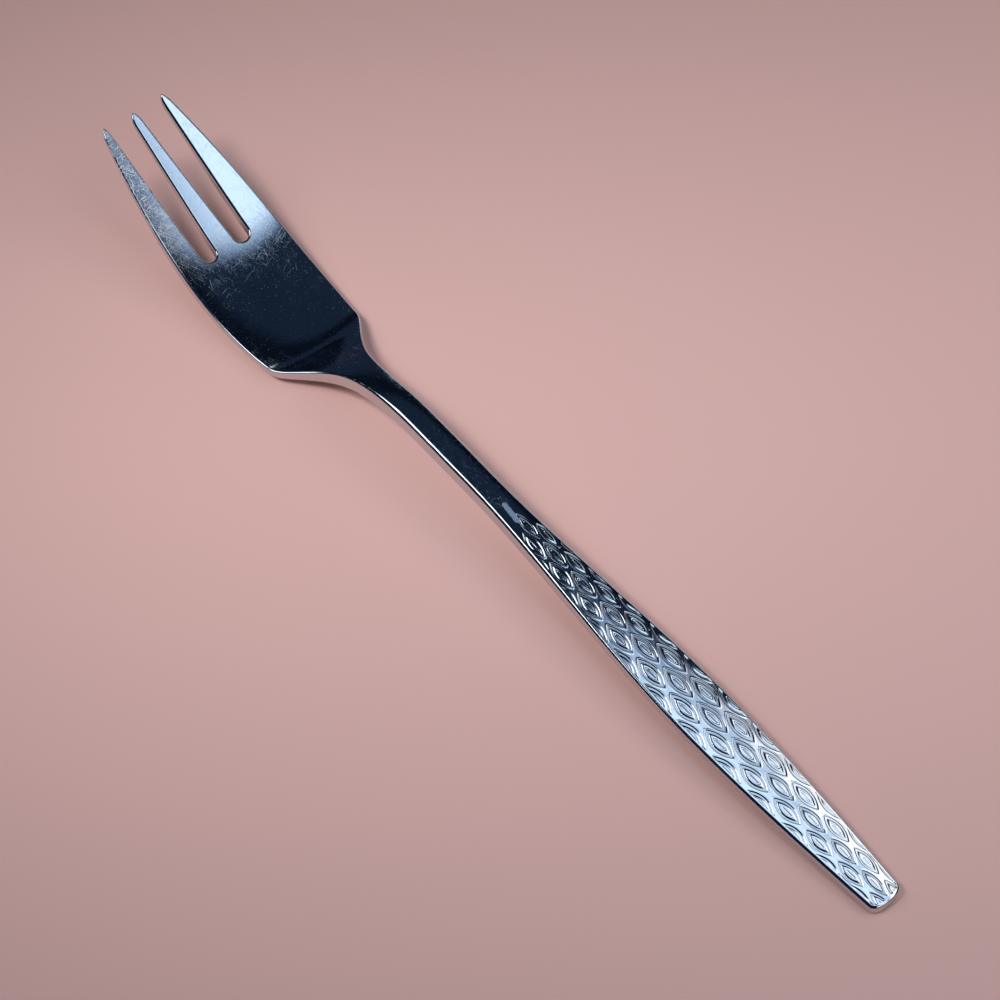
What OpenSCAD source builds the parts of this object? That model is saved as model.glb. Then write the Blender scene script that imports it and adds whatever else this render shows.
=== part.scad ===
// Three-tined salad fork, stamped from one blank of stainless steel.
// The fork lies on a table: +X runs from the butt end to the points, +Z is up, and the origin is
// on the table under the middle of the fork. Each region of the blank is a solid of its own, and
// neighbouring regions share one flat section.

/* [Handle] */
// Length of the handle, from the butt end to the start of the neck
handle_l = 76.5; // [64:0.5:90]
// Width of the handle at its widest place
handle_w = 9.1; // [7:0.1:13]
// Distance from the butt end to the widest place
handle_widest_at = 35.5; // [25:0.5:45]
// Width of the butt end before it is rounded
butt_w = 5.5; // [4.5:0.1:7]
// Length over which the butt end is rounded, seen from above
butt_round = 1.5; // [0.8:0.1:2.5]
// Squareness of the butt end: 2 is a half ellipse, higher is blunter
butt_power = 2.4; // [2:0.1:4]
// Growth of the half-width per millimetre at the butt end
butt_flare = 0.075; // [0.02:0.005:0.12]
// Thickness of the handle along its middle
handle_t = 1.95; // [1.4:0.05:3]
// How far the handle's edges lie below its middle
crown = 0.45; // [0:0.05:0.7]

/* [Neck] */
// Length of the neck, from the handle to the start of the head
neck_l = 31; // [24:1:40]
// Width of the neck at its slimmest
neck_w = 4.45; // [3:0.05:6]
// Thickness of the neck at the top of its arch
neck_t = 2.95; // [2:0.05:4]
// Distance from the handle to the place where the neck is slim
neck_slim_at = 6; // [2:0.5:14]
// Distance from the handle to the corner of the arch
crest_at = 25.3; // [22:0.1:28]
// Height of the arch's corner above the table, on the underside
crest_h = 6.8; // [3:0.1:12]
// Length of the bend that rounds the arch
crest_bend = 21; // [14:0.5:28]

/* [Head] */
// Length of the head, from the neck to the bottom of the slots
head_l = 31.2; // [26:0.1:40]
// Width of the head at its widest place
head_w = 18.2; // [15:0.1:26]
// Distance from the neck to the head's widest place
head_widest_at = 24.9; // [18:0.1:30]
// Distance from the neck back to where the shoulders start to flare
flare_lead = 12; // [6:0.5:16]
// Length of the flare, from the slim neck to the corners of the shoulders
flare_l = 23.5; // [16:0.5:30]
// Squareness of the shoulders: higher keeps the flare slim for longer
flare_power = 2.6; // [1.4:0.1:3.4]
// Thickness of the head
head_t = 1.3; // [1.1:0.05:2.5]
// Length over which the blank thins from the neck to the head, from the start of the head
thin_l = 14.5; // [8:0.5:24]
// Height of a pressed dish whose rim is as wide as the head
dish = 1.35; // [0:0.05:2]
// Distance from the neck to the corner of the heel
heel_at = 10.6; // [8:0.1:13]
// Length of the bend that rounds the heel
heel_bend = 4; // [3:0.5:8]
// Distance from the neck to the middle of the upward sweep
sweep_at = 26.7; // [20:0.1:30]

/* [Tines] */
// Length of the tines, from the bottom of the slots to the points
tine_l = 22.4; // [16:0.1:32]
// Width of each slot just above its round bottom
slot_w = 2.4; // [1.4:0.1:3.2]
// Distance from the middle of the fork to the middle of each slot
slot_y = 3.15; // [2.6:0.05:4]
// Distance by which each slot's outer wall leans out over the length of a tine
slot_lean = 0.45; // [0:0.05:0.6]
// Thickness of the tines at the bottom of the slots
tine_t = 1.8; // [1.2:0.05:2.5]
// Width of the middle tine at its point, before the point is rounded
middle_tip_w = 1.5; // [0.8:0.1:2.4]
// Width of each outer tine at its point, before the point is rounded
outer_tip_w = 1.15; // [0.8:0.05:2]
// Length of the rounded point of a tine
tip_round = 1.6; // [0.6:0.1:3]
// Thickness of the tines at their points
tip_t = 1.2; // [0.7:0.05:1.6]
// Height of the points above the table, on the underside
tip_h = 14.8; // [6:0.1:22]

/* [Edges] */
// Radius of the polished edges
edge_r = 0.4; // [0.15:0.05:0.6]

/* [Hidden] */

steel = "#c6c9cc";

// Places along the fork, measured from the butt end
neck_x = handle_l;
slim_x = neck_x + neck_slim_at;
crest_x = neck_x + crest_at;
head_x = neck_x + neck_l;
flare_x = head_x - flare_lead;
heel_x = head_x + heel_at;
low_x = heel_x + heel_bend / 2;
sweep_x = head_x + sweep_at;
head_widest_x = head_x + head_widest_at;
root_x = head_x + head_l;
total_l = root_x + tine_l;

// The thickness grows from the handle's widest place to the start of the arch
arch_x = crest_x - crest_bend / 2;
// The underside leaves the table this far from the butt end
rest_x = butt_round;

// Straight runs of the underside between its bends
handle_slope = crest_h / (crest_x - rest_x);
fall_slope = -crest_h / (heel_x - crest_x);
tine_slope = tip_h / (total_l - sweep_x);
// The sweep starts at the lowest point of the heel, so that point rests on the table
sweep_bend = 2 * (sweep_x - low_x);

// Share of the slot's round bottom that is cut off flat, as an angle
root_angle = 12;
root_run = slot_w / 2 * cos(root_angle);
// Smallest share of a rounded end that is kept as a flat
end_angle = 18;
// Largest share of a section that an edge radius may take on one side
edge_share = 0.45;

// Counts of facets
arc_n = 3;
span_n = 8;
end_n = 6;
handle_n = 26;
neck_n = 24;
head_n = 30;
tine_n = 9;

// Smooth step from 0 to 1, and its running sum
function ease(t) = let (c = min(max(t, 0), 1)) c * c * (3 - 2 * c);
function ease_sum(t) = t > 1 ? t - 1 / 2 : let (c = max(t, 0)) pow(c, 3) - pow(c, 4) / 2;
function mix(a, b, t) = a + (b - a) * t;
function steps(from, to, n) = [for (i = [0:n]) mix(from, to, i / n)];

// Height gained at x from a bend that turns a straight run by a change of slope
function bend(x, middle, length, turn) =
    turn * length * ease_sum((x - middle) / length + 1 / 2);

// Height of the underside along the middle of the fork
function underside(x) =
    bend(x, rest_x, 2 * rest_x, handle_slope)
    + bend(x, crest_x, crest_bend, fall_slope - handle_slope)
    + bend(x, heel_x, heel_bend, -fall_slope)
    + bend(x, sweep_x, sweep_bend, tine_slope);

// How far the blank has changed from the crowned bar to the dished head
function dished(x) = ease((x - flare_x) / flare_l);

// Thickness along the middle: handle, neck, head, tines, points
function thickness(x) =
    handle_t
    + (neck_t - handle_t) * ease((x - handle_widest_at) / (arch_x - handle_widest_at))
    + (head_t - neck_t) * ease((x - head_x) / thin_l)
    + (tine_t - head_t) * ease((x - low_x) / (root_x - low_x))
    + (tip_t - tine_t) * ease((x - root_x) / tine_l);

// Half-width of the handle and neck: out from the butt to the widest place, then in to the neck
function butt_half(x) =
    let (t = x / handle_widest_at)
    mix(butt_w / 2, handle_w / 2, ease(t))
    + butt_flare * handle_widest_at * t * pow(1 - t, 2);
function taper_half(x) =
    mix(handle_w / 2, neck_w / 2, ease((x - handle_widest_at) / (slim_x - handle_widest_at)));
function bar_half(x) = x < handle_widest_at ? butt_half(x) : taper_half(x);

// Half-width of the head, whose sides curve in from its widest place to the outer points
side_drop = head_w / 2 - outer_wall(total_l) - outer_tip_w;
side_run = total_l - head_widest_x;
function side_half(x) = head_w / 2 - side_drop * pow((x - head_widest_x) / side_run, 2);
function flare(x) = ease(pow(min(max((x - flare_x) / flare_l, 0), 1), flare_power));

// Half-width of the whole blank, before and after its butt end is rounded
function blank_half(x) = mix(bar_half(x), side_half(x), flare(x));
function butt_share(x) =
    x < butt_round ? pow(1 - pow(1 - x / butt_round, butt_power), 1 / butt_power) : 1;
function half_width(x) = blank_half(x) * butt_share(x);

// Underside and top of the blank at any point of its plan
function dish_rise(x, y) = dish * dished(x) * pow(2 * y / head_w, 2);
function crown_drop(x, y) = crown * (1 - dished(x)) * pow(y / blank_half(x), 2);
function low_z(x, y) = underside(x) + dish_rise(x, y);
function high_z(x, y) = low_z(x, y) + thickness(x) - crown_drop(x, y);

// One quarter round of a section's outline: a corner at [y, v], turned by angle
function corner(y, v, r, angle) =
    [for (i = [0:arc_n]) let (a = angle + 90 * i / arc_n) [y + r * cos(a), v + r * sin(a)]];
function run(from, to) = [for (i = [1:span_n - 1]) mix(from, to, i / span_n)];

// Outline of a section in the plane of its width and thickness, thinned by inset on both faces
function outline(y0, y1, t, inset) =
    let (
        r = min(edge_r, edge_share * (t - 2 * inset), edge_share * (y1 - y0)),
        left = y0 + r,
        right = y1 - r,
        low = inset + r,
        high = t - inset - r
    )
    concat(
        corner(left, low, r, 180),
        run([left, low - r], [right, low - r]),
        corner(right, low, r, 270),
        corner(right, high, r, 0),
        run([right, high + r], [left, high + r]),
        corner(left, high, r, 90)
    );

// The same section in space, bent to the underside and the top of the blank
function section(x, y0, y1, inset = 0) =
    let (t = thickness(x))
    [for (p = outline(y0, y1, t, inset))
        [x - total_l / 2, p[0], mix(low_z(x, p[0]), high_z(x, p[0]), p[1] / t)]];
function full_section(x, inset = 0) = section(x, -half_width(x), half_width(x), inset);

// Distances from a rounded end at which sections are taken, and the inset of each
function end_places(r) = [for (a = steps(end_angle, 90, end_n)) r * (1 - cos(a))];
function end_inset(d) = d < edge_r ? edge_r - sqrt(pow(edge_r, 2) - pow(edge_r - d, 2)) : 0;

// Skin of triangles over a row of sections, closed at both ends
module loft(rings) {
    n = len(rings[0]);
    last = (len(rings) - 1) * n;
    skin = [
        for (i = [0:len(rings) - 2])
            for (j = [0:n - 1])
                let (a = i * n + j, b = i * n + (j + 1) % n)
                    each [[a, a + n, b + n], [a, b + n, b]]
    ];
    start_cap = [for (j = [0:n - 1]) j];
    end_cap = [for (j = [n - 1:-1:0]) last + j];
    polyhedron([for (ring = rings) each ring], concat([start_cap, end_cap], skin), convexity = 6);
}

// Tine edges: the slot opens from its round bottom, and the point closes to a round tip
function slot_half(x) =
    let (d = x - root_x)
    d < root_run ? sqrt(pow(slot_w / 2, 2) - pow(root_run - d, 2)) : slot_w / 2;
function middle_edge(x) =
    mix(slot_y - slot_w / 2, middle_tip_w / 2, (x - root_x) / tine_l) + slot_w / 2 - slot_half(x);
function outer_wall(x) = slot_y + slot_half(x) + slot_lean * (x - root_x) / tine_l;
function point_share(x) =
    let (d = total_l - x)
    d < tip_round ? sqrt(1 - pow(1 - d / tip_round, 2)) : 1;
function tine_section(x, y0, y1) =
    let (middle = (y0 + y1) / 2, half = (y1 - y0) / 2 * point_share(x))
    section(x, middle - half, middle + half, end_inset(total_l - x));

// Stations along a tine: round slot bottom, straight run, rounded point
function tine_places() = concat(
    [for (a = steps(root_angle, 90, end_n)) root_x + root_run - slot_w / 2 * cos(a)],
    [for (i = [1:tine_n]) mix(root_x + root_run, total_l - tip_round, i / tine_n)],
    [for (i = [1:end_n]) total_l - end_places(tip_round)[end_n - i]]
);

module outer_tine() {
    loft([for (x = tine_places()) tine_section(x, outer_wall(x), side_half(x))]);
}

module handle() {
    color(steel)
        loft(concat(
            [for (x = end_places(butt_round)) full_section(x, end_inset(x))],
            [for (i = [1:handle_n]) full_section(mix(butt_round, neck_x, i / handle_n))]
        ));
}

module neck() {
    color(steel) loft([for (x = steps(neck_x, head_x, neck_n)) full_section(x)]);
}

module head() {
    color(steel) loft([for (x = steps(head_x, root_x, head_n)) full_section(x)]);
}

module tine_left() {
    color(steel) outer_tine();
}

module tine_middle() {
    color(steel)
        loft([for (x = tine_places()) tine_section(x, -middle_edge(x), middle_edge(x))]);
}

module tine_right() {
    color(steel) mirror([0, 1, 0]) outer_tine();
}

handle();
neck();
head();
tine_left();
tine_middle();
tine_right();
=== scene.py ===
"""A salad fork: a polished, worn stamping with a lattice of pointed ovals pressed into its handle.

The fork lies as in the CAD frame. In the formulas, x runs from the butt end in millimetres.
"""

import math
from collections import namedtuple

import bpy
import numpy as np
from mathutils import Matrix, Vector


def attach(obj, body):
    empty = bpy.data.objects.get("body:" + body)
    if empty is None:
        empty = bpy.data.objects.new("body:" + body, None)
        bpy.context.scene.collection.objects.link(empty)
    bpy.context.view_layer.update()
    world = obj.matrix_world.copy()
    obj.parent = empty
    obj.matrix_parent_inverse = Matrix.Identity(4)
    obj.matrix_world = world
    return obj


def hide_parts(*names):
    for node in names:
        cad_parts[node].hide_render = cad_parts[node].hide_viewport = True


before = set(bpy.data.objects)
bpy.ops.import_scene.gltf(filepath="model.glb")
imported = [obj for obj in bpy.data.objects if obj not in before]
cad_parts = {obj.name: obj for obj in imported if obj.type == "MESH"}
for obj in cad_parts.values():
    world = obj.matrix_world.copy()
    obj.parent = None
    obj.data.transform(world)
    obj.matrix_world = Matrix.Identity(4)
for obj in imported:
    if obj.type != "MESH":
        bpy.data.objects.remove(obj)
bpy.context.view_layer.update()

MM = 0.001

# Sizes of the blank, the same as in the CAD source
HANDLE_L, HANDLE_W, HANDLE_WIDEST_AT, HANDLE_T = 76.5, 9.1, 35.5, 1.95
BUTT_W, BUTT_ROUND, BUTT_POWER, BUTT_FLARE, CROWN = 5.5, 1.5, 2.4, 0.075, 0.45
NECK_L, NECK_W, NECK_T, NECK_SLIM_AT = 31, 4.45, 2.95, 6
CREST_AT, CREST_H, CREST_BEND = 25.3, 6.8, 21
HEAD_L, HEAD_W, HEAD_WIDEST_AT, HEAD_T, THIN_L = 31.2, 18.2, 24.9, 1.3, 14.5
FLARE_LEAD, FLARE_L, FLARE_POWER = 12, 23.5, 2.6
DISH, HEEL_AT, HEEL_BEND, SWEEP_AT = 1.35, 10.6, 4, 26.7
TINE_L, TINE_T, TIP_ROUND, TIP_T, TIP_H = 22.4, 1.8, 1.6, 1.2, 14.8
SLOT_W, SLOT_Y, SLOT_LEAN, ROOT_ANGLE = 2.4, 3.15, 0.45, 12
MIDDLE_TIP_W, OUTER_TIP_W = 1.5, 1.15

# Places along the fork
NECK_X = HANDLE_L
SLIM_X = NECK_X + NECK_SLIM_AT
CREST_X = NECK_X + CREST_AT
ARCH_X = CREST_X - CREST_BEND / 2
HEAD_X = NECK_X + NECK_L
FLARE_X = HEAD_X - FLARE_LEAD
HEEL_X = HEAD_X + HEEL_AT
LOW_X = HEEL_X + HEEL_BEND / 2
SWEEP_X = HEAD_X + SWEEP_AT
WIDEST_X = HEAD_X + HEAD_WIDEST_AT
ROOT_X = HEAD_X + HEAD_L
TOTAL_L = ROOT_X + TINE_L
# The round bottoms of the slots belong to the head, so its tines start where these end
TINE_X = ROOT_X + SLOT_W / 2 * math.cos(math.radians(ROOT_ANGLE))

HANDLE_SLOPE = CREST_H / (CREST_X - BUTT_ROUND)
FALL_SLOPE = -CREST_H / (HEEL_X - CREST_X)
TINE_SLOPE = TIP_H / (TOTAL_L - SWEEP_X)
SWEEP_BEND = 2 * (SWEEP_X - LOW_X)
SIDE_DROP = HEAD_W / 2 - (SLOT_Y + SLOT_W / 2 + SLOT_LEAN) - OUTER_TIP_W
SIDE_RUN = TOTAL_L - WIDEST_X

# Polished edges: radius on the head and tines, the share of it that is left at the end of a
# point, and the rounder edges of the handle and neck
EDGE_R, POINT_EDGE = 0.42, 0.4
HANDLE_EDGE, NECK_EDGE = 0.45, 0.62


def ease(t):
    """Smooth step from 0 to 1."""
    c = np.clip(t, 0, 1)
    return c * c * (3 - 2 * c)


def mix(a, b, t):
    return a + (b - a) * t


def bend(x, middle, length, turn):
    """Height gained at x from a bend that turns a straight run by a change of slope."""
    t = (x - middle) / length + 0.5
    c = np.clip(t, 0, 1)
    return turn * length * np.where(t > 1, t - 0.5, c**3 - c**4 / 2)


def underside(x):
    """Height of the underside along the middle of the fork."""
    return (
        bend(x, BUTT_ROUND, 2 * BUTT_ROUND, HANDLE_SLOPE)
        + bend(x, CREST_X, CREST_BEND, FALL_SLOPE - HANDLE_SLOPE)
        + bend(x, HEEL_X, HEEL_BEND, -FALL_SLOPE)
        + bend(x, SWEEP_X, SWEEP_BEND, TINE_SLOPE)
    )


def dished(x):
    """How far the blank has changed from the crowned bar to the dished head."""
    return ease((x - FLARE_X) / FLARE_L)


def thickness(x):
    return (
        HANDLE_T
        + (NECK_T - HANDLE_T) * ease((x - HANDLE_WIDEST_AT) / (ARCH_X - HANDLE_WIDEST_AT))
        + (HEAD_T - NECK_T) * ease((x - HEAD_X) / THIN_L)
        + (TINE_T - HEAD_T) * ease((x - LOW_X) / (ROOT_X - LOW_X))
        + (TIP_T - TINE_T) * ease((x - ROOT_X) / TINE_L)
    )


def edge_radius(x):
    """Radius of the blank's long edges."""
    slimmer = ease((x - HANDLE_WIDEST_AT) / (NECK_X - HANDLE_WIDEST_AT))
    return mix(mix(HANDLE_EDGE, NECK_EDGE, slimmer), EDGE_R, dished(x))


def bar_half(x):
    """Half-width of the handle and neck."""
    t = x / HANDLE_WIDEST_AT
    butt = mix(BUTT_W / 2, HANDLE_W / 2, ease(t)) + BUTT_FLARE * x * (1 - t) ** 2
    inward = ease((x - HANDLE_WIDEST_AT) / (SLIM_X - HANDLE_WIDEST_AT))
    return np.where(t < 1, butt, mix(HANDLE_W / 2, NECK_W / 2, inward))


def side_half(x):
    """Half-width of the head, whose sides curve in to the outer points."""
    return HEAD_W / 2 - SIDE_DROP * ((x - WIDEST_X) / SIDE_RUN) ** 2


def blank_half(x):
    """Half-width of the whole blank, before its butt end is rounded."""
    flare = ease(np.clip((x - FLARE_X) / FLARE_L, 0, 1) ** FLARE_POWER)
    return mix(bar_half(x), side_half(x), flare)


def outer_wall(x):
    """Distance from the middle of the fork to the slot's outer wall."""
    return SLOT_Y + SLOT_W / 2 + SLOT_LEAN * (x - ROOT_X) / TINE_L


def middle_edge(x):
    """Half-width of the middle tine."""
    return mix(SLOT_Y - SLOT_W / 2, MIDDLE_TIP_W / 2, (x - ROOT_X) / TINE_L)


def low_z(x, y):
    return underside(x) + DISH * dished(x) * (2 * y / HEAD_W) ** 2


def high_z(x, y):
    """Top of the blank, without its ornament and rounded edges."""
    return low_z(x, y) + thickness(x) - CROWN * (1 - dished(x)) * (y / blank_half(x)) ** 2


# Ornament: a staggered lattice of pointed ovals, stretched lengthwise and across with the handle
EYE_X, EYE_PITCH, EYE_SWING, EYE_SPAN = 3.2, 6.26, 0.15, 68.9
ROW_BASE, ROW_SHARE = 0.35, 0.36
LAST_EYE, LAST_RIM_EYE = 11, 10
# Half-length in pitches, half-height in row steps and pointedness of an eye's rims, outside in
OUTER_RIM, BOSS_RIM, INNER_RIM = (0.43, 0.62, 0.9), (0.31, 0.4, 0.9), (0.18, 0.2, 0.8)
SLIT_HALF = 0.12
# A bead follows the outer rim, and a channel falls inside it. From its floor a boss rises over a
# flank, which the swell makes steeper at its foot
BEAD_H, BEAD_WIDTH = 0.014, 0.13
CHANNEL_DEPTH, WALL, FLANK, BOSS_H, BOSS_SWELL = 0.072, 0.21, 0.27, 0.02, 0.4
INNER_DEPTH, INNER_WIDTH = 0.018, 0.08
SLIT_DEPTH, SLIT_WIDTH = 0.04, 0.08
# Plain margin inside the rounded edges, from where the ornament starts to where it is full
MARGIN, MARGIN_END = 0.06, 0.3
# Least values that keep quotients finite, at the tips of an eye and along the handle's middle
TIP_LEAST, MIDDLE_LEAST = 1e-3, 1e-6


def phase(x):
    """Count of eyes in the middle row, whose centres lie at whole numbers."""
    run = x - EYE_X
    return run / EYE_PITCH + EYE_SWING * np.sin(2 * np.pi * run / EYE_SPAN)


def lens(p, q, length, height, power):
    """Distance in from a pointed oval's rim, less than 0 outside."""
    t = np.clip(np.abs(p) / length, 0, 1)
    rim = height * (1 - t**2) ** power
    slope = 2 * power * height / length * t * np.maximum(1 - t**2, TIP_LEAST) ** (power - 1)
    inside = (rim - np.abs(q)) / np.hypot(1, slope)
    beyond = -np.hypot(np.abs(p) - length, q)
    return np.where(np.abs(p) < length, inside, beyond)


def groove(distance, width):
    """Share of a groove's depth at a distance from its middle."""
    return np.exp(-((distance / width) ** 2))


def eye(p, q, pitch, row):
    """Height and groove darkness of one eye at p along and q across, in millimetres."""
    outer, boss, inner = (
        lens(p, q, length * pitch, height * row, power)
        for length, height, power in (OUTER_RIM, BOSS_RIM, INNER_RIM)
    )
    fall = ease(outer / WALL)
    rise = np.clip(boss / FLANK, 0, 1)
    rise = rise * (1 + BOSS_SWELL * (1 - rise))
    depth = CHANNEL_DEPTH * fall * (1 - rise)
    slit = np.hypot(np.maximum(np.abs(p) - SLIT_HALF * pitch, 0), q)
    lines = INNER_DEPTH * groove(inner, INNER_WIDTH) + SLIT_DEPTH * groove(slit, SLIT_WIDTH)
    lines = lines * (boss > 0)
    return BEAD_H * groove(outer, BEAD_WIDTH) + BOSS_H * rise - depth - lines, depth + lines


def rim_distance(x, y):
    """Distance in from the handle's outline, with its rounded butt end."""
    half = blank_half(x)
    along, across = np.maximum(1 - x / BUTT_ROUND, 0), np.maximum(np.abs(y), MIDDLE_LEAST) / half
    level = (along**BUTT_POWER + across**BUTT_POWER) ** (1 / BUTT_POWER)
    slope = np.hypot(along ** (BUTT_POWER - 1) / BUTT_ROUND, across ** (BUTT_POWER - 1) / half)
    return (1 - level) * level ** (BUTT_POWER - 1) / slope


def ornament(x, y):
    """Height of the pressed ornament over the plain top of the handle, and its groove depth."""
    row = ROW_BASE + ROW_SHARE * blank_half(x)
    step = 0.05
    pitch = 2 * step / (phase(x + step) - phase(x - step))
    count, across = phase(x), y / row
    height, cuts = np.zeros_like(x), np.zeros_like(x)
    for offset, first_row in ((0, 0), (0.5, 1)):
        nearest = np.round(count - offset) + offset
        band = 2 * np.round((across - first_row) / 2) + first_row
        shown = nearest <= np.where(np.abs(band) > 1, LAST_RIM_EYE, LAST_EYE)
        h, c = eye((count - nearest) * pitch, (across - band) * row, pitch, row)
        height, cuts = height + h * shown, cuts + c * shown
    inside = rim_distance(x, y) - edge_radius(x)
    full = ease((inside - MARGIN) / (MARGIN_END - MARGIN))
    return height * full, cuts * full


def handle_top(x, y):
    return high_z(x, y) + ornament(x, y)[0]


def unit(v):
    return v / np.linalg.norm(v, axis=-1, keepdims=True)


def gradient_normals(surface, x, y, up):
    """Unit normals of a height surface; up is 1 for a top and -1 for an underside."""
    step = 0.01
    dx = (surface(x + step, y) - surface(x - step, y)) / (2 * step)
    dy = (surface(x, y + step) - surface(x, y - step)) / (2 * step)
    return unit(np.stack([-dx * up, -dy * up, np.full_like(dx, up)], -1))


# One run of the plan outline: points, outward directions and edge radii
Rim = namedtuple("Rim", "point out radius")


def rim(curve, places, turn, radius=EDGE_R):
    """Samples a plan curve; turn is 1 where the metal lies to its right as places grow, or -1."""
    step = 1e-4
    x, y = curve(places)
    x1, y1 = curve(places + step)
    x0, y0 = curve(places - step)
    out = unit(np.stack([(y0 - y1) * turn, (x1 - x0) * turn], -1))
    return Rim(np.stack([x, y], -1), out, np.broadcast_to(radius, x.shape).astype(float))


def inset(r):
    return r.point - r.out * r.radius[:, None]


def mirrored(r):
    flip = np.array([1, -1])
    return Rim(r.point * flip, r.out * flip, r.radius)


def joined(*rims):
    """One rim from several that follow each other and share their end samples."""
    parts = [rims[0]] + [Rim(r.point[1:], r.out[1:], r.radius[1:]) for r in rims[1:]]
    return Rim(*(np.concatenate(column) for column in zip(*parts)))


def backwards(r):
    return Rim(r.point[::-1], r.out[::-1], r.radius[::-1])


def side_curve(x):
    return x, blank_half(x)


# Rounds in which the samples of a side settle
SIDE_ROUNDS = 12


def side_rim(stations):
    """The +Y side of the blank, sampled so that the inset of each sample lies at its station."""
    x = stations
    for _ in range(SIDE_ROUNDS):
        x = stations + edge_radius(stations) * rim(side_curve, x, 1).out[:, 0]
    return rim(side_curve, x, 1, edge_radius(stations))


def butt_curve(a):
    """The butt end, from its middle at a = 0 to the +Y side at a = pi / 2."""
    power = 2 / BUTT_POWER
    x = BUTT_ROUND * (1 - np.abs(np.cos(a)) ** power)
    return x, blank_half(x) * np.sign(np.sin(a)) * np.abs(np.sin(a)) ** power


def point_curve(inner, outer):
    """The rounded point of a tine, from its outer side at a = pi / 2 round to -pi / 2."""

    def curve(a):
        x = TOTAL_L - TIP_ROUND * (1 - np.cos(a))
        y0, y1 = inner(x), outer(x)
        return x, (y0 + y1) / 2 + (y1 - y0) / 2 * np.sin(a)

    return curve


def slot_curve(a):
    """The round bottom of the +Y slot, from its inner wall at a = -pi / 2 to its outer wall."""
    y0, y1 = middle_edge(TINE_X), outer_wall(TINE_X)
    return TINE_X - SLOT_W / 2 * np.cos(a), (y0 + y1) / 2 + (y1 - y0) / 2 * np.sin(a)


# Points that agree to this many decimals of a millimetre are welded
WELD_DECIMALS = 4


class Skin:
    """Gathers patches of points and normals and welds them into one closed mesh."""

    def __init__(self):
        self.points, self.normals, self.marks, self.faces = [], [], [], []
        self.count = 0

    def add(self, points, normals, marks=None):
        """Adds a grid of points whose outside is to the left of its columns' run."""
        ids = self.count + np.arange(points[..., 0].size).reshape(points.shape[:2])
        self.count += ids.size
        self.points.append(points.reshape(-1, 3))
        self.normals.append(normals.reshape(-1, 3))
        self.marks.append(np.zeros(ids.size) if marks is None else marks.ravel())
        a, b, c, d = ids[:-1, :-1], ids[1:, :-1], ids[1:, 1:], ids[:-1, 1:]
        self.faces.extend(np.stack([a, b, c, d], -1).reshape(-1, 4).tolist())

    def cap(self, loop, normal):
        """Closes a ring of points with one flat face."""
        ids = self.count + np.arange(len(loop))
        self.count += len(loop)
        self.points.append(loop)
        self.normals.append(np.tile(np.array(normal, float), (len(loop), 1)))
        self.marks.append(np.zeros(len(loop)))
        self.faces.append(ids.tolist())

    def build(self, name):
        """Makes the Blender object, in metres and in the CAD frame."""
        points = np.concatenate(self.points)
        normals = np.concatenate(self.normals)
        places = np.round(points, WELD_DECIMALS)
        _, first, weld = np.unique(places, axis=0, return_index=True, return_inverse=True)
        weld = weld.ravel()
        faces, loop_normals = [], []
        for face in self.faces:
            kept = [i for k, i in enumerate(face) if weld[i] != weld[face[k - 1]]]
            if len(kept) > 2:
                faces.append([int(weld[i]) for i in kept])
                loop_normals.extend(normals[kept])
        placed = (points[first] - [TOTAL_L / 2, 0, 0]) * MM
        mesh = bpy.data.meshes.new(name)
        mesh.from_pydata(placed.tolist(), [], faces)
        mesh.polygons.foreach_set("use_smooth", [True] * len(faces))
        mesh.attributes.new("groove", "FLOAT", "POINT").data.foreach_set(
            "value", np.concatenate(self.marks)[first]
        )
        mesh.normals_split_custom_set([tuple(n) for n in loop_normals])
        piece = bpy.data.objects.new(name, mesh)
        bpy.context.collection.objects.link(piece)
        return piece


# Steps round a polished edge and down the wall under it
ARC_STEPS, WALL_STEPS = 5, 3


def edge_profile(r, places):
    """The rounded edge over some samples of a rim: points and normals, from top to underside."""
    turns = np.linspace(0, np.pi / 2, ARC_STEPS + 1)

    def ring(turn, surface, up):
        plan = r.point - r.out * (r.radius * (1 - np.sin(turn)))[:, None]
        x, y = plan[:, 0], plan[:, 1]
        z = surface(x, y) - up * r.radius * (1 - np.cos(turn))
        flat = np.concatenate([r.out, np.zeros((len(x), 1))], -1)
        face = gradient_normals(surface, x, y, up)
        return np.stack([x, y, z], -1), unit(np.cos(turn) * face + np.sin(turn) * flat)

    rings = [ring(t, high_z, 1) for t in turns]
    (top, out), (bottom, _) = rings[-1], ring(turns[-1], low_z, -1)
    rings += [(mix(top, bottom, k / WALL_STEPS), out) for k in range(1, WALL_STEPS)]
    rings += [ring(t, low_z, -1) for t in turns[::-1]]
    points, normals = zip(*rings)
    return np.stack(points, 1)[places], np.stack(normals, 1)[places]


def add_edge(skin, r, reverse=False):
    """Adds the rounded edge along a rim whose metal lies to the right of its run."""
    points, normals = edge_profile(r, slice(None))
    if reverse:
        points, normals = points[::-1], normals[::-1]
    skin.add(points, normals)


def face_grid(start, end, shares):
    """Plan points between two runs of inset points, one row per sample."""
    s = np.asarray(shares)[None, :, None]
    return mix(start[:, None, :], end[:, None, :], s)


def add_faces(skin, start, end, shares, low_shares=None, top=high_z, marks=None):
    """Adds the top and the underside between two runs of inset points, from +Y to -Y."""
    plan = face_grid(start, end, shares)
    x, y = plan[..., 0], plan[..., 1]
    skin.add(
        np.stack([x, y, top(x, y)], -1)[:, ::-1],
        gradient_normals(top, x, y, 1)[:, ::-1],
        None if marks is None else marks(x, y)[:, ::-1],
    )
    plan = face_grid(start, end, shares if low_shares is None else low_shares)
    x, y = plan[..., 0], plan[..., 1]
    skin.add(np.stack([x, y, low_z(x, y)], -1), gradient_normals(low_z, x, y, -1))


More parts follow.
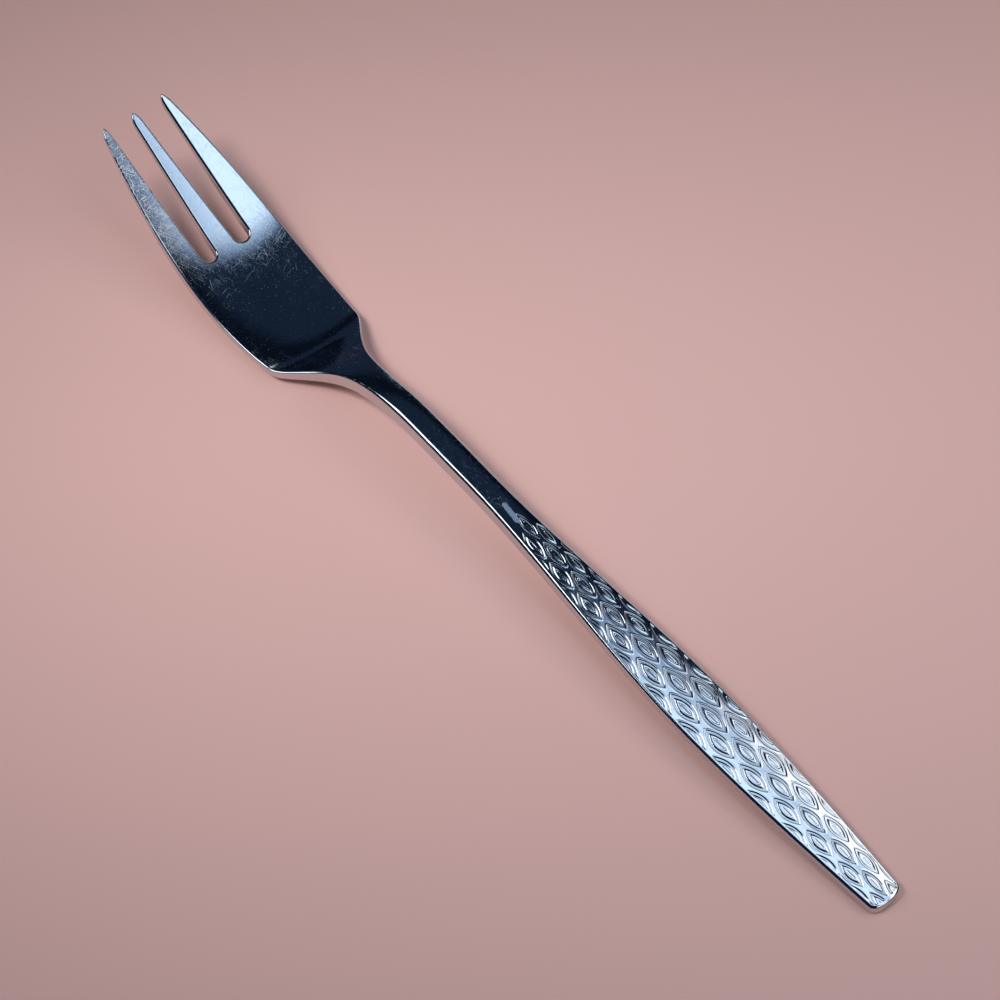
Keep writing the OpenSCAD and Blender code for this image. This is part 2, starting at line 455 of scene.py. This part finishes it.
def section_loop(left, right, row, shares, low_shares=None, top=high_z):
    """Points round the section between sample row of two rims, from +Y over the top to -Y."""

    def across(surface, a, b, steps):
        plan = face_grid(inset(a)[row : row + 1], inset(b)[row : row + 1], steps)[0]
        return np.stack([plan[:, 0], plan[:, 1], surface(plan[:, 0], plan[:, 1])], -1)

    low = shares if low_shares is None else low_shares
    left_edge = edge_profile(left, slice(row, row + 1))[0][0]
    right_edge = edge_profile(right, slice(row, row + 1))[0][0]
    return np.concatenate(
        [
            across(top, left, right, shares),
            right_edge[1:-1],
            across(low_z, left, right, low)[::-1],
            left_edge[::-1][1:-1],
        ]
    )


def add_bar(skin, left, right, shares, low_shares=None, top=high_z, marks=None, ends=(True, True)):
    """Adds a bar between two rims that run the same way, with caps at the ends that ask for one."""
    add_faces(skin, inset(left), inset(right), shares, low_shares, top, marks)
    add_edge(skin, left)
    add_edge(skin, right, reverse=True)
    last = len(left.radius) - 1
    if ends[0]:
        skin.cap(section_loop(left, right, 0, shares, low_shares, top)[::-1], (-1, 0, 0))
    if ends[1]:
        skin.cap(section_loop(left, right, last, shares, low_shares, top), (1, 0, 0))


def even(count):
    return np.linspace(0, 1, count + 1)


# Counts of rows and columns of each piece
BUTT_ROWS, HANDLE_ROWS, HANDLE_COLUMNS, HANDLE_LOW_COLUMNS = 40, 1200, 144, 20
NECK_ROWS, NECK_COLUMNS = 120, 28
HEAD_ROWS, SLOT_ROWS, HEAD_SIDE_COLUMNS, HEAD_MIDDLE_COLUMNS = 150, 16, 16, 20
TINE_ROWS, POINT_ROWS, TINE_COLUMNS = 90, 16, 14


def make_handle():
    butt = rim(butt_curve, np.linspace(0, np.pi / 2, BUTT_ROWS + 1), 1, HANDLE_EDGE)
    start = inset(butt)[-1, 0]
    side = side_rim(np.linspace(start, NECK_X, HANDLE_ROWS + 1))
    left = joined(butt, side)
    skin = Skin()
    add_bar(
        skin,
        left,
        mirrored(left),
        even(HANDLE_COLUMNS),
        even(HANDLE_LOW_COLUMNS),
        handle_top,
        lambda x, y: ornament(x, y)[1],
        ends=(False, True),
    )
    return skin.build("handle_stamping")


def make_neck():
    left = side_rim(np.linspace(NECK_X, HEAD_X, NECK_ROWS + 1))
    skin = Skin()
    add_bar(skin, left, mirrored(left), even(NECK_COLUMNS))
    return skin.build("neck_bar")


def tine_rims():
    """Outer and inner rims of the +Y tine, and the rims of the middle tine."""
    x = np.linspace(TINE_X, TOTAL_L - TIP_ROUND, TINE_ROWS + 1)
    turn = np.linspace(np.pi / 2, 0, POINT_ROWS + 1)
    radius = EDGE_R * mix(POINT_EDGE, 1, np.sin(turn))
    outer_point = point_curve(outer_wall, side_half)
    outer = joined(side_rim(x), rim(outer_point, turn, -1, radius))
    wall = rim(lambda s: (s, outer_wall(s)), x, -1)
    inner = joined(wall, rim(outer_point, -turn, -1, radius))
    edge = rim(lambda s: (s, middle_edge(s)), x, 1)
    middle_point = point_curve(lambda s: -middle_edge(s), middle_edge)
    middle = joined(edge, rim(middle_point, turn, -1, radius))
    # The first samples face straight across, as the ends of the head's slots do
    for r in (inner, middle):
        r.out[0] = (0, np.sign(r.out[0, 1]))
    return outer, inner, middle


def make_tine(name, left, right):
    skin = Skin()
    add_bar(skin, left, right, even(TINE_COLUMNS), ends=(True, False))
    return skin.build(name)


def make_head():
    slot = rim(slot_curve, np.linspace(-np.pi / 2, np.pi / 2, 2 * SLOT_ROWS + 1), -1)
    bottom = inset(slot)[SLOT_ROWS]
    inner_wall = backwards(Rim(*(column[: SLOT_ROWS + 1] for column in slot)))
    outer_side = Rim(*(column[SLOT_ROWS:] for column in slot))
    body = side_rim(np.linspace(HEAD_X, bottom[0], HEAD_ROWS + 1))
    shoulder = side_rim(inset(outer_side)[:, 0])
    split = (1 - bottom[1] / inset(body)[-1, 1]) / 2
    shares = np.concatenate(
        [
            split * even(HEAD_SIDE_COLUMNS)[:-1],
            mix(split, 1 - split, even(HEAD_MIDDLE_COLUMNS)[:-1]),
            mix(1 - split, 1, even(HEAD_SIDE_COLUMNS)),
        ]
    )
    skin = Skin()
    add_faces(skin, inset(body), inset(mirrored(body)), shares)
    skin.cap(section_loop(body, mirrored(body), 0, shares)[::-1], (-1, 0, 0))
    whole = joined(body, shoulder)
    add_edge(skin, whole)
    add_edge(skin, mirrored(whole), reverse=True)
    add_edge(skin, slot, reverse=True)
    add_edge(skin, mirrored(slot))
    strips = (
        (shoulder, outer_side, HEAD_SIDE_COLUMNS),
        (inner_wall, mirrored(inner_wall), HEAD_MIDDLE_COLUMNS),
        (mirrored(outer_side), mirrored(shoulder), HEAD_SIDE_COLUMNS),
    )
    for left, right, columns in strips:
        add_faces(skin, inset(left), inset(right), even(columns))
        skin.cap(section_loop(left, right, SLOT_ROWS, even(columns)), (1, 0, 0))
    return skin.build("head_plate")


def socket_link(tree, value, socket):
    """Sets a socket to a number, or links it to another socket."""
    if isinstance(value, bpy.types.NodeSocket):
        tree.links.new(value, socket)
    else:
        socket.default_value = value


def add_node(tree, kind, inputs=(), output=0, **settings):
    """Adds a shader node and returns one of its outputs."""
    made = tree.nodes.new(kind)
    for key, value in settings.items():
        setattr(made, key, value)
    for key, value in dict(inputs).items():
        socket_link(tree, value, made.inputs[key])
    return made.outputs[output]


def math_node(tree, operation, a, b=0.0):
    return add_node(tree, "ShaderNodeMath", {0: a, 1: b}, operation=operation)


def smooth_range(tree, value, low, high, to_low=0.0, to_high=1.0):
    return add_node(
        tree,
        "ShaderNodeMapRange",
        {0: value, 1: low, 2: high, 3: to_low, 4: to_high},
        interpolation_type="SMOOTHSTEP",
    )


def stretched(tree, place, scale, turn=0.0):
    """Object coordinates turned about Z and stretched, in features per metre."""
    turned = add_node(
        tree,
        "ShaderNodeVectorRotate",
        {"Vector": place, "Angle": math.radians(turn)},
        rotation_type="Z_AXIS",
    )
    return add_node(tree, "ShaderNodeVectorMath", {0: turned, 1: scale}, operation="MULTIPLY")


def noise(tree, place, detail):
    return add_node(tree, "ShaderNodeTexNoise", {"Vector": place, "Scale": 1.0, "Detail": detail})


def mixed(tree, share, a, b):
    return add_node(tree, "ShaderNodeMix", {"Factor": share, 6: a, 7: b}, 2, data_type="RGBA")


# Hairline scratches from use: waves per metre along and across each set, and its turn in degrees
SCRATCHES = (
    ((300, 14000, 1), 22),
    ((340, 16000, 1), -39),
    ((260, 15000, 1), 71),
    ((380, 17000, 1), -14),
)
SPECKS = (((4300, 5200, 1), 10),)
# Noise levels between which a mark sets in
MARK_LEVELS, CUT_LEVELS = (0.66, 0.78), (0.6, 0.72)
# The near tine does the cutting: its broader scratches, and the places along and across the fork
# between which they set in
CUTS = (
    ((420, 6500, 1), 33),
    ((360, 7500, 1), -48),
    ((460, 7000, 1), 82),
    ((400, 6000, 1), 4),
)
CUT_FROM, CUT_FULL, CUT_SIDE_FROM, CUT_SIDE_FULL = 0.054, 0.072, 0.0015, 0.0035


def worn(tree, place, sets, levels=MARK_LEVELS):
    """Share of wear: 1 in the middle of a scratch or speck and 0 between them."""
    marks = 0.0
    for scale, turn in sets:
        waves = noise(tree, stretched(tree, place, scale, turn), detail=1.0)
        mark = smooth_range(tree, waves, *levels)
        marks = math_node(tree, "MAXIMUM", marks, mark)
    return marks


# A rubbed streak where the ornament ends, rougher and with a painted bluish sky sheen: middle,
# half-length to its round ends, half-width and turn in degrees, how ragged its edge is, and where
# the edge starts and ends in half-widths
STREAK_AT, STREAK_REACH, STREAK_HALF, STREAK_TURN = (-0.0055, 0.00042, 0), 0.0015, 0.00042, 5
STREAK_RAGGED, STREAK_EDGE = 1.2, (1.75, 1.35)


def rubbed(tree, place, grain):
    """1 inside the rubbed streak and its painted sheen, with a ragged edge, and 0 elsewhere."""
    offset = add_node(tree, "ShaderNodeVectorMath", {0: place, 1: STREAK_AT}, operation="SUBTRACT")
    share = stretched(tree, offset, [1 / STREAK_HALF] * 2 + [0], STREAK_TURN)
    along = add_node(tree, "ShaderNodeSeparateXYZ", {0: share})
    reach = STREAK_REACH / STREAK_HALF
    spine = add_node(tree, "ShaderNodeClamp", {0: along, 1: -reach, 2: reach})
    nearest = add_node(tree, "ShaderNodeCombineXYZ", {0: spine})
    away = add_node(tree, "ShaderNodeVectorMath", {0: share, 1: nearest}, 1, operation="DISTANCE")
    ragged = math_node(tree, "ADD", away, math_node(tree, "MULTIPLY", grain, STREAK_RAGGED))
    return smooth_range(tree, ragged, *STREAK_EDGE)


def cut_marks_and_glints(tree, place):
    """Share of wear by the scratches of the near tine, which also carries their painted glint."""
    along = add_node(tree, "ShaderNodeSeparateXYZ", {0: place})
    across = add_node(tree, "ShaderNodeSeparateXYZ", {0: place}, 1)
    cuts = worn(tree, place, CUTS, CUT_LEVELS)
    cuts = math_node(tree, "MULTIPLY", cuts, smooth_range(tree, along, CUT_FROM, CUT_FULL))
    beside = smooth_range(tree, across, CUT_SIDE_FROM, CUT_SIDE_FULL)
    return math_node(tree, "MULTIPLY", cuts, beside)


STEEL, PALE_STEEL = (0.62, 0.63, 0.65, 1), (0.7, 0.705, 0.715, 1)
# Painted bluish white glint of scratches, painted bluish sky sheen of the rubbed streak, and the
# patina in the ornament's hollows
SCRATCH_GLINT, STREAK_SKY_SHEEN, PATINA = (0.8, 0.88, 0.98, 1), (0.66, 0.78, 0.96, 1), (0.1, 0.13, 0.2, 1)
# Waves per metre along, across and up
POLISH_LINES, SMUDGES, GRAIN = (60, 5000, 5000), (140, 220, 220), (5000, 2500, 1)
# Noise levels between which smudges and grain set in, and those for patches of scratches
SOFT_LEVELS, PATCH_LEVELS = (0.3, 0.7), (0.35, 0.65)
# Least share of the scratches that a patch keeps, and the streak's least and most strength
PATCH_LEAST, MOTTLE = 0.6, (0.55, 1.15)
# How level a face is where scratches start and where all of them show
LEVEL_FACES = 0.5, 0.9
# Roughness of clean steel, and what polish lines, scratches, specks and the streak add to it
CLEAN_ROUGH = 0.035, 0.075
LINE_ROUGH, MARK_ROUGH, SPECK_ROUGH, STREAK_ROUGH = 0.05, 0.2, 0.35, 0.33
BUMP_STRENGTH, BUMP_DISTANCE, MARK_BUMP = 0.12, 0.00004, 0.8
# How much painted glint colour scratches take, and how metallic the middle of a cut still is
MARK_GLINT, CUT_GLINT_METAL = 0.6, 0.3
# Depths in millimetres between which patina builds up in the ornament, and its shares there
PATINA_DEPTHS, PATINA_SHARES = (0.02, 0.072), (0.05, 0.35)


def make_steel(name, wear, ornamented):
    """Polished steel with lengthwise polish lines, scratches from use and a rubbed streak.

    The scratches carry a painted bluish white glint, the streak a painted bluish sky sheen.
    """
    material = bpy.data.materials.new(name)
    material.use_nodes = True
    tree = material.node_tree
    shader = tree.nodes["Principled BSDF"]
    shader.inputs["Metallic"].default_value = 1.0
    place = add_node(tree, "ShaderNodeTexCoord", output="Object")
    lines = noise(tree, stretched(tree, place, POLISH_LINES), detail=4.0)
    smudge = noise(tree, stretched(tree, place, SMUDGES), detail=4.0)
    grain = noise(tree, stretched(tree, place, GRAIN), detail=2.0)

    patchy = smooth_range(tree, smudge, *PATCH_LEVELS, PATCH_LEAST * wear, wear)
    marks = math_node(tree, "MULTIPLY", worn(tree, place, SCRATCHES), patchy)
    if not ornamented:
        cuts = cut_marks_and_glints(tree, place)
        # Cuts are less metallic, so that their painted glint colour shows in diffuse light
        tree.links.new(smooth_range(tree, cuts, 0, 1, 1, CUT_GLINT_METAL), shader.inputs["Metallic"])
        marks = math_node(tree, "MAXIMUM", marks, cuts)
    normal = add_node(tree, "ShaderNodeNewGeometry", output="Normal")
    level = math_node(tree, "ABSOLUTE", add_node(tree, "ShaderNodeSeparateXYZ", {0: normal}, 2))
    marks = math_node(tree, "MULTIPLY", marks, smooth_range(tree, level, *LEVEL_FACES))
    specks = math_node(tree, "MULTIPLY", worn(tree, place, SPECKS), wear)
    mottle = smooth_range(tree, grain, *SOFT_LEVELS, *MOTTLE)
    streak = math_node(tree, "MULTIPLY", rubbed(tree, place, grain), mottle)

    rough = smooth_range(tree, smudge, *SOFT_LEVELS, *CLEAN_ROUGH)
    for share, amount in (
        (lines, LINE_ROUGH),
        (marks, MARK_ROUGH),
        (specks, SPECK_ROUGH),
        (streak, STREAK_ROUGH),
    ):
        rough = math_node(tree, "ADD", rough, math_node(tree, "MULTIPLY", share, amount))
    tree.links.new(rough, shader.inputs["Roughness"])

    relief = math_node(tree, "SUBTRACT", lines, math_node(tree, "MULTIPLY", marks, MARK_BUMP))
    bump = {"Height": relief, "Strength": BUMP_STRENGTH, "Distance": BUMP_DISTANCE}
    tree.links.new(add_node(tree, "ShaderNodeBump", bump), shader.inputs["Normal"])

    colour = mixed(tree, smudge, STEEL, PALE_STEEL)
    # Scratches mix in a painted bluish white glint
    colour = mixed(tree, math_node(tree, "MULTIPLY", marks, MARK_GLINT), colour, SCRATCH_GLINT)
    # The rubbed streak mixes in a painted bluish sky sheen
    colour = mixed(tree, streak, colour, STREAK_SKY_SHEEN)
    if ornamented:
        depth = add_node(tree, "ShaderNodeAttribute", output="Fac", attribute_name="groove")
        dark = smooth_range(tree, depth, *PATINA_DEPTHS, *PATINA_SHARES)
        colour = mixed(tree, dark, colour, PATINA)
    tree.links.new(colour, shader.inputs["Base Color"])
    return material


# The floor is a plain dusty rose
FLOOR_COLOUR = (0.64, 0.388, 0.352, 1)
FLOOR_HALF, FLOOR_DROP = 3.0, 0.00005
FLOOR_ROUGH, FLOOR_SHINE = 0.85, 0.1


def make_floor():
    corners = [(-1, -1), (1, -1), (1, 1), (-1, 1)]
    mesh = bpy.data.meshes.new("floor")
    mesh.from_pydata(
        [(x * FLOOR_HALF, y * FLOOR_HALF, -FLOOR_DROP) for x, y in corners], [], [(0, 1, 2, 3)]
    )
    floor = bpy.data.objects.new("floor", mesh)
    bpy.context.collection.objects.link(floor)
    material = bpy.data.materials.new("rose_floor")
    material.use_nodes = True
    shader = material.node_tree.nodes["Principled BSDF"]
    shader.inputs["Base Color"].default_value = FLOOR_COLOUR
    shader.inputs["Roughness"].default_value = FLOOR_ROUGH
    shader.inputs["Specular IOR Level"].default_value = FLOOR_SHINE
    mesh.materials.append(material)


def add_panel(name, place, size, radiance, colour):
    """A panel of light that faces the fork; radiance is how bright its face looks."""
    data = bpy.data.lights.new(name, "AREA")
    data.shape = "RECTANGLE"
    data.size, data.size_y = size
    data.energy = radiance * math.pi * size[0] * size[1]
    data.color = colour[:3]
    lamp = bpy.data.objects.new(name, data)
    lamp.location = place
    lamp.rotation_euler = (-Vector(place)).to_track_quat("-Z", "Y").to_euler()
    lamp.visible_camera = False
    bpy.context.collection.objects.link(lamp)
    return lamp


def add_ceiling(name, height, along, across, radiance, colour, faint):
    """A level panel that faces down, in the faint colour where it is dim.

    along and across say where on X and Y its light starts, is full from, is full to and ends.
    """
    reach = (along, across)
    place = [(r[0] + r[3]) / 2 for r in reach] + [height]
    lamp = add_panel(name, place, [r[3] - r[0] for r in reach], radiance, (1, 1, 1))
    lamp.rotation_euler = (0, 0, 0)
    lamp.data.use_nodes = True
    tree = lamp.data.node_tree
    spot = add_node(tree, "ShaderNodeNewGeometry", output="Position")
    strength = 1.0
    for axis, (start, full_from, full_to, end) in enumerate(reach):
        at = add_node(tree, "ShaderNodeSeparateXYZ", {0: spot}, output=axis)
        for edge, full in ((start, full_from), (end, full_to)):
            ramp = add_node(tree, "ShaderNodeMapRange", {0: at, 1: edge, 2: full})
            strength = math_node(tree, "MULTIPLY", strength, ramp)
    emission = tree.nodes["Emission"]
    tree.links.new(strength, emission.inputs["Strength"])
    tree.links.new(mixed(tree, strength, faint, colour), emission.inputs["Color"])


def stand(place, right, back):
    """Pose of a camera or lamp that looks against back, with its own X axis to the right."""
    turn = Matrix((right, back.cross(right), back)).transposed().to_4x4()
    return Matrix.Translation(place) @ turn


# Middle of the pool of light on the floor, and the direction in which it is longer
POOL_AT, POOL_AXIS = Vector((0.029, 0.003, 0)), Vector((0.711, 0.704, 0))


def add_key(place, radius, cone, stretch, power):
    """A soft lamp for the floor's pool of light and the fork's shadow, too dull to be mirrored."""
    data = bpy.data.lights.new("key", "SPOT")
    data.shadow_soft_size = radius
    data.spot_size, data.spot_blend = math.radians(cone), 1.0
    data.energy = power
    lamp = bpy.data.objects.new("key", data)
    back = (Vector(place) - POOL_AT).normalized()
    right = (POOL_AXIS - back * back.dot(POOL_AXIS)).normalized()
    lamp.matrix_world = stand(place, right, back) @ Matrix.Diagonal((stretch, 1, 1, 1))
    lamp.visible_camera = lamp.visible_glossy = False
    bpy.context.collection.objects.link(lamp)


SKY, DEEP_SKY = (0.64, 0.83, 1.0, 1), (0.4, 0.6, 1.0, 1)
CREAM = (1.0, 0.97, 0.93, 1)
DAYLIGHT = (0.82, 0.92, 1.0, 1)


def make_light():
    """Two ceilings and three panels, which the fork mirrors, and the key lamp."""
    add_ceiling(
        "sky",
        height=0.24,
        along=(-0.25, -0.2, 0.0, 0.024),
        across=(-0.27, -0.03, 0.01, 0.05),
        radiance=1.65,
        colour=SKY,
        faint=DEEP_SKY,
    )
    add_ceiling(
        "lamp",
        height=0.2,
        along=(-0.45, -0.4, -0.03, 0.004),
        across=(-0.31, -0.28, -0.14, -0.095),
        radiance=1.7,
        colour=CREAM,
        faint=CREAM,
    )
    add_panel("window", (0.45, 0.52, 0.74), size=(0.5, 0.42), radiance=3.5, colour=DAYLIGHT)
    add_panel("doorway", (-0.7, 0.05, 0.5), size=(0.6, 0.5), radiance=1.2, colour=CREAM)
    add_panel("strip", (0.48, -1.05, 0.34), size=(1.0, 0.3), radiance=0.8, colour=DAYLIGHT)
    add_key((0.078, 0.29, 0.52), radius=0.08, cone=22, stretch=1.35, power=10.5)


ROOM, WALLS = (0.01, 0.02, 0.043, 1), (0.003, 0.006, 0.014, 1)
# Heights of a direction, from 0 level to 1 upright, between which the walls fade out and in
WALL_TOP, WALL_FOOT = (0.8, 0.65), (0.3, 0.5)


def make_world():
    """A dark room with walls that are darker still."""
    world = bpy.data.worlds.new("room")
    bpy.context.scene.world = world
    world.use_nodes = True
    tree = world.node_tree
    aim = add_node(tree, "ShaderNodeTexCoord", output="Generated")
    height = add_node(tree, "ShaderNodeSeparateXYZ", {0: aim}, 2)
    below, above = (smooth_range(tree, height, *edge) for edge in (WALL_TOP, WALL_FOOT))
    colour = mixed(tree, math_node(tree, "MULTIPLY", below, above), ROOM, WALLS)
    tree.links.new(colour, tree.nodes["Background"].inputs["Color"])


# The photo's view: where the camera stands, how far it is turned and how it frames the fork
VIEW_AZIMUTH, VIEW_ELEVATION, VIEW_ROLL = (math.radians(a) for a in (224.72, 56.52, 4.44))
VIEW_TARGET, VIEW_DISTANCE = Vector((0.00005, 0, 0)), 0.4
VIEW_LENS, VIEW_SENSOR, VIEW_SHIFT = 100.5, 36, (0.0155, 0.0158)


def make_camera():
    a, e = VIEW_AZIMUTH, VIEW_ELEVATION
    back = Vector((math.sin(a) * math.cos(e), -math.cos(a) * math.cos(e), math.sin(e)))
    right = Matrix.Rotation(VIEW_ROLL, 3, back) @ Vector((math.cos(a), math.sin(a), 0))
    data = bpy.data.cameras.new("photo_view")
    data.lens = VIEW_LENS
    data.sensor_width = VIEW_SENSOR
    data.shift_x, data.shift_y = VIEW_SHIFT
    camera = bpy.data.objects.new("photo_view", data)
    camera.matrix_world = stand(VIEW_TARGET + back * VIEW_DISTANCE, right, back)
    bpy.context.collection.objects.link(camera)
    bpy.context.scene.camera = camera


def dress(piece, node, material):
    """Gives a piece its material and puts it in the place of its CAD node."""
    piece.data.materials.append(material)
    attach(piece, "root")
    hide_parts(node)


def polished_pieces():
    """Makes the plain pieces, each with the CAD node that it replaces."""
    outer, inner, middle = tine_rims()
    return (
        (make_neck(), "neck"),
        (make_head(), "head"),
        (make_tine("tine_near", outer, inner), "tine_left"),
        (make_tine("tine_centre", middle, mirrored(middle)), "tine_middle"),
        (make_tine("tine_far", mirrored(inner), mirrored(outer)), "tine_right"),
    )


bpy.context.scene.view_settings.view_transform = "Standard"
make_camera()
make_world()
make_light()
make_floor()

polished = make_steel("polished_steel", wear=1.0, ornamented=False)
pressed = make_steel("pressed_steel", wear=0.25, ornamented=True)
dress(make_handle(), "handle", pressed)
for plain_piece, plain_node in polished_pieces():
    dress(plain_piece, plain_node, polished)
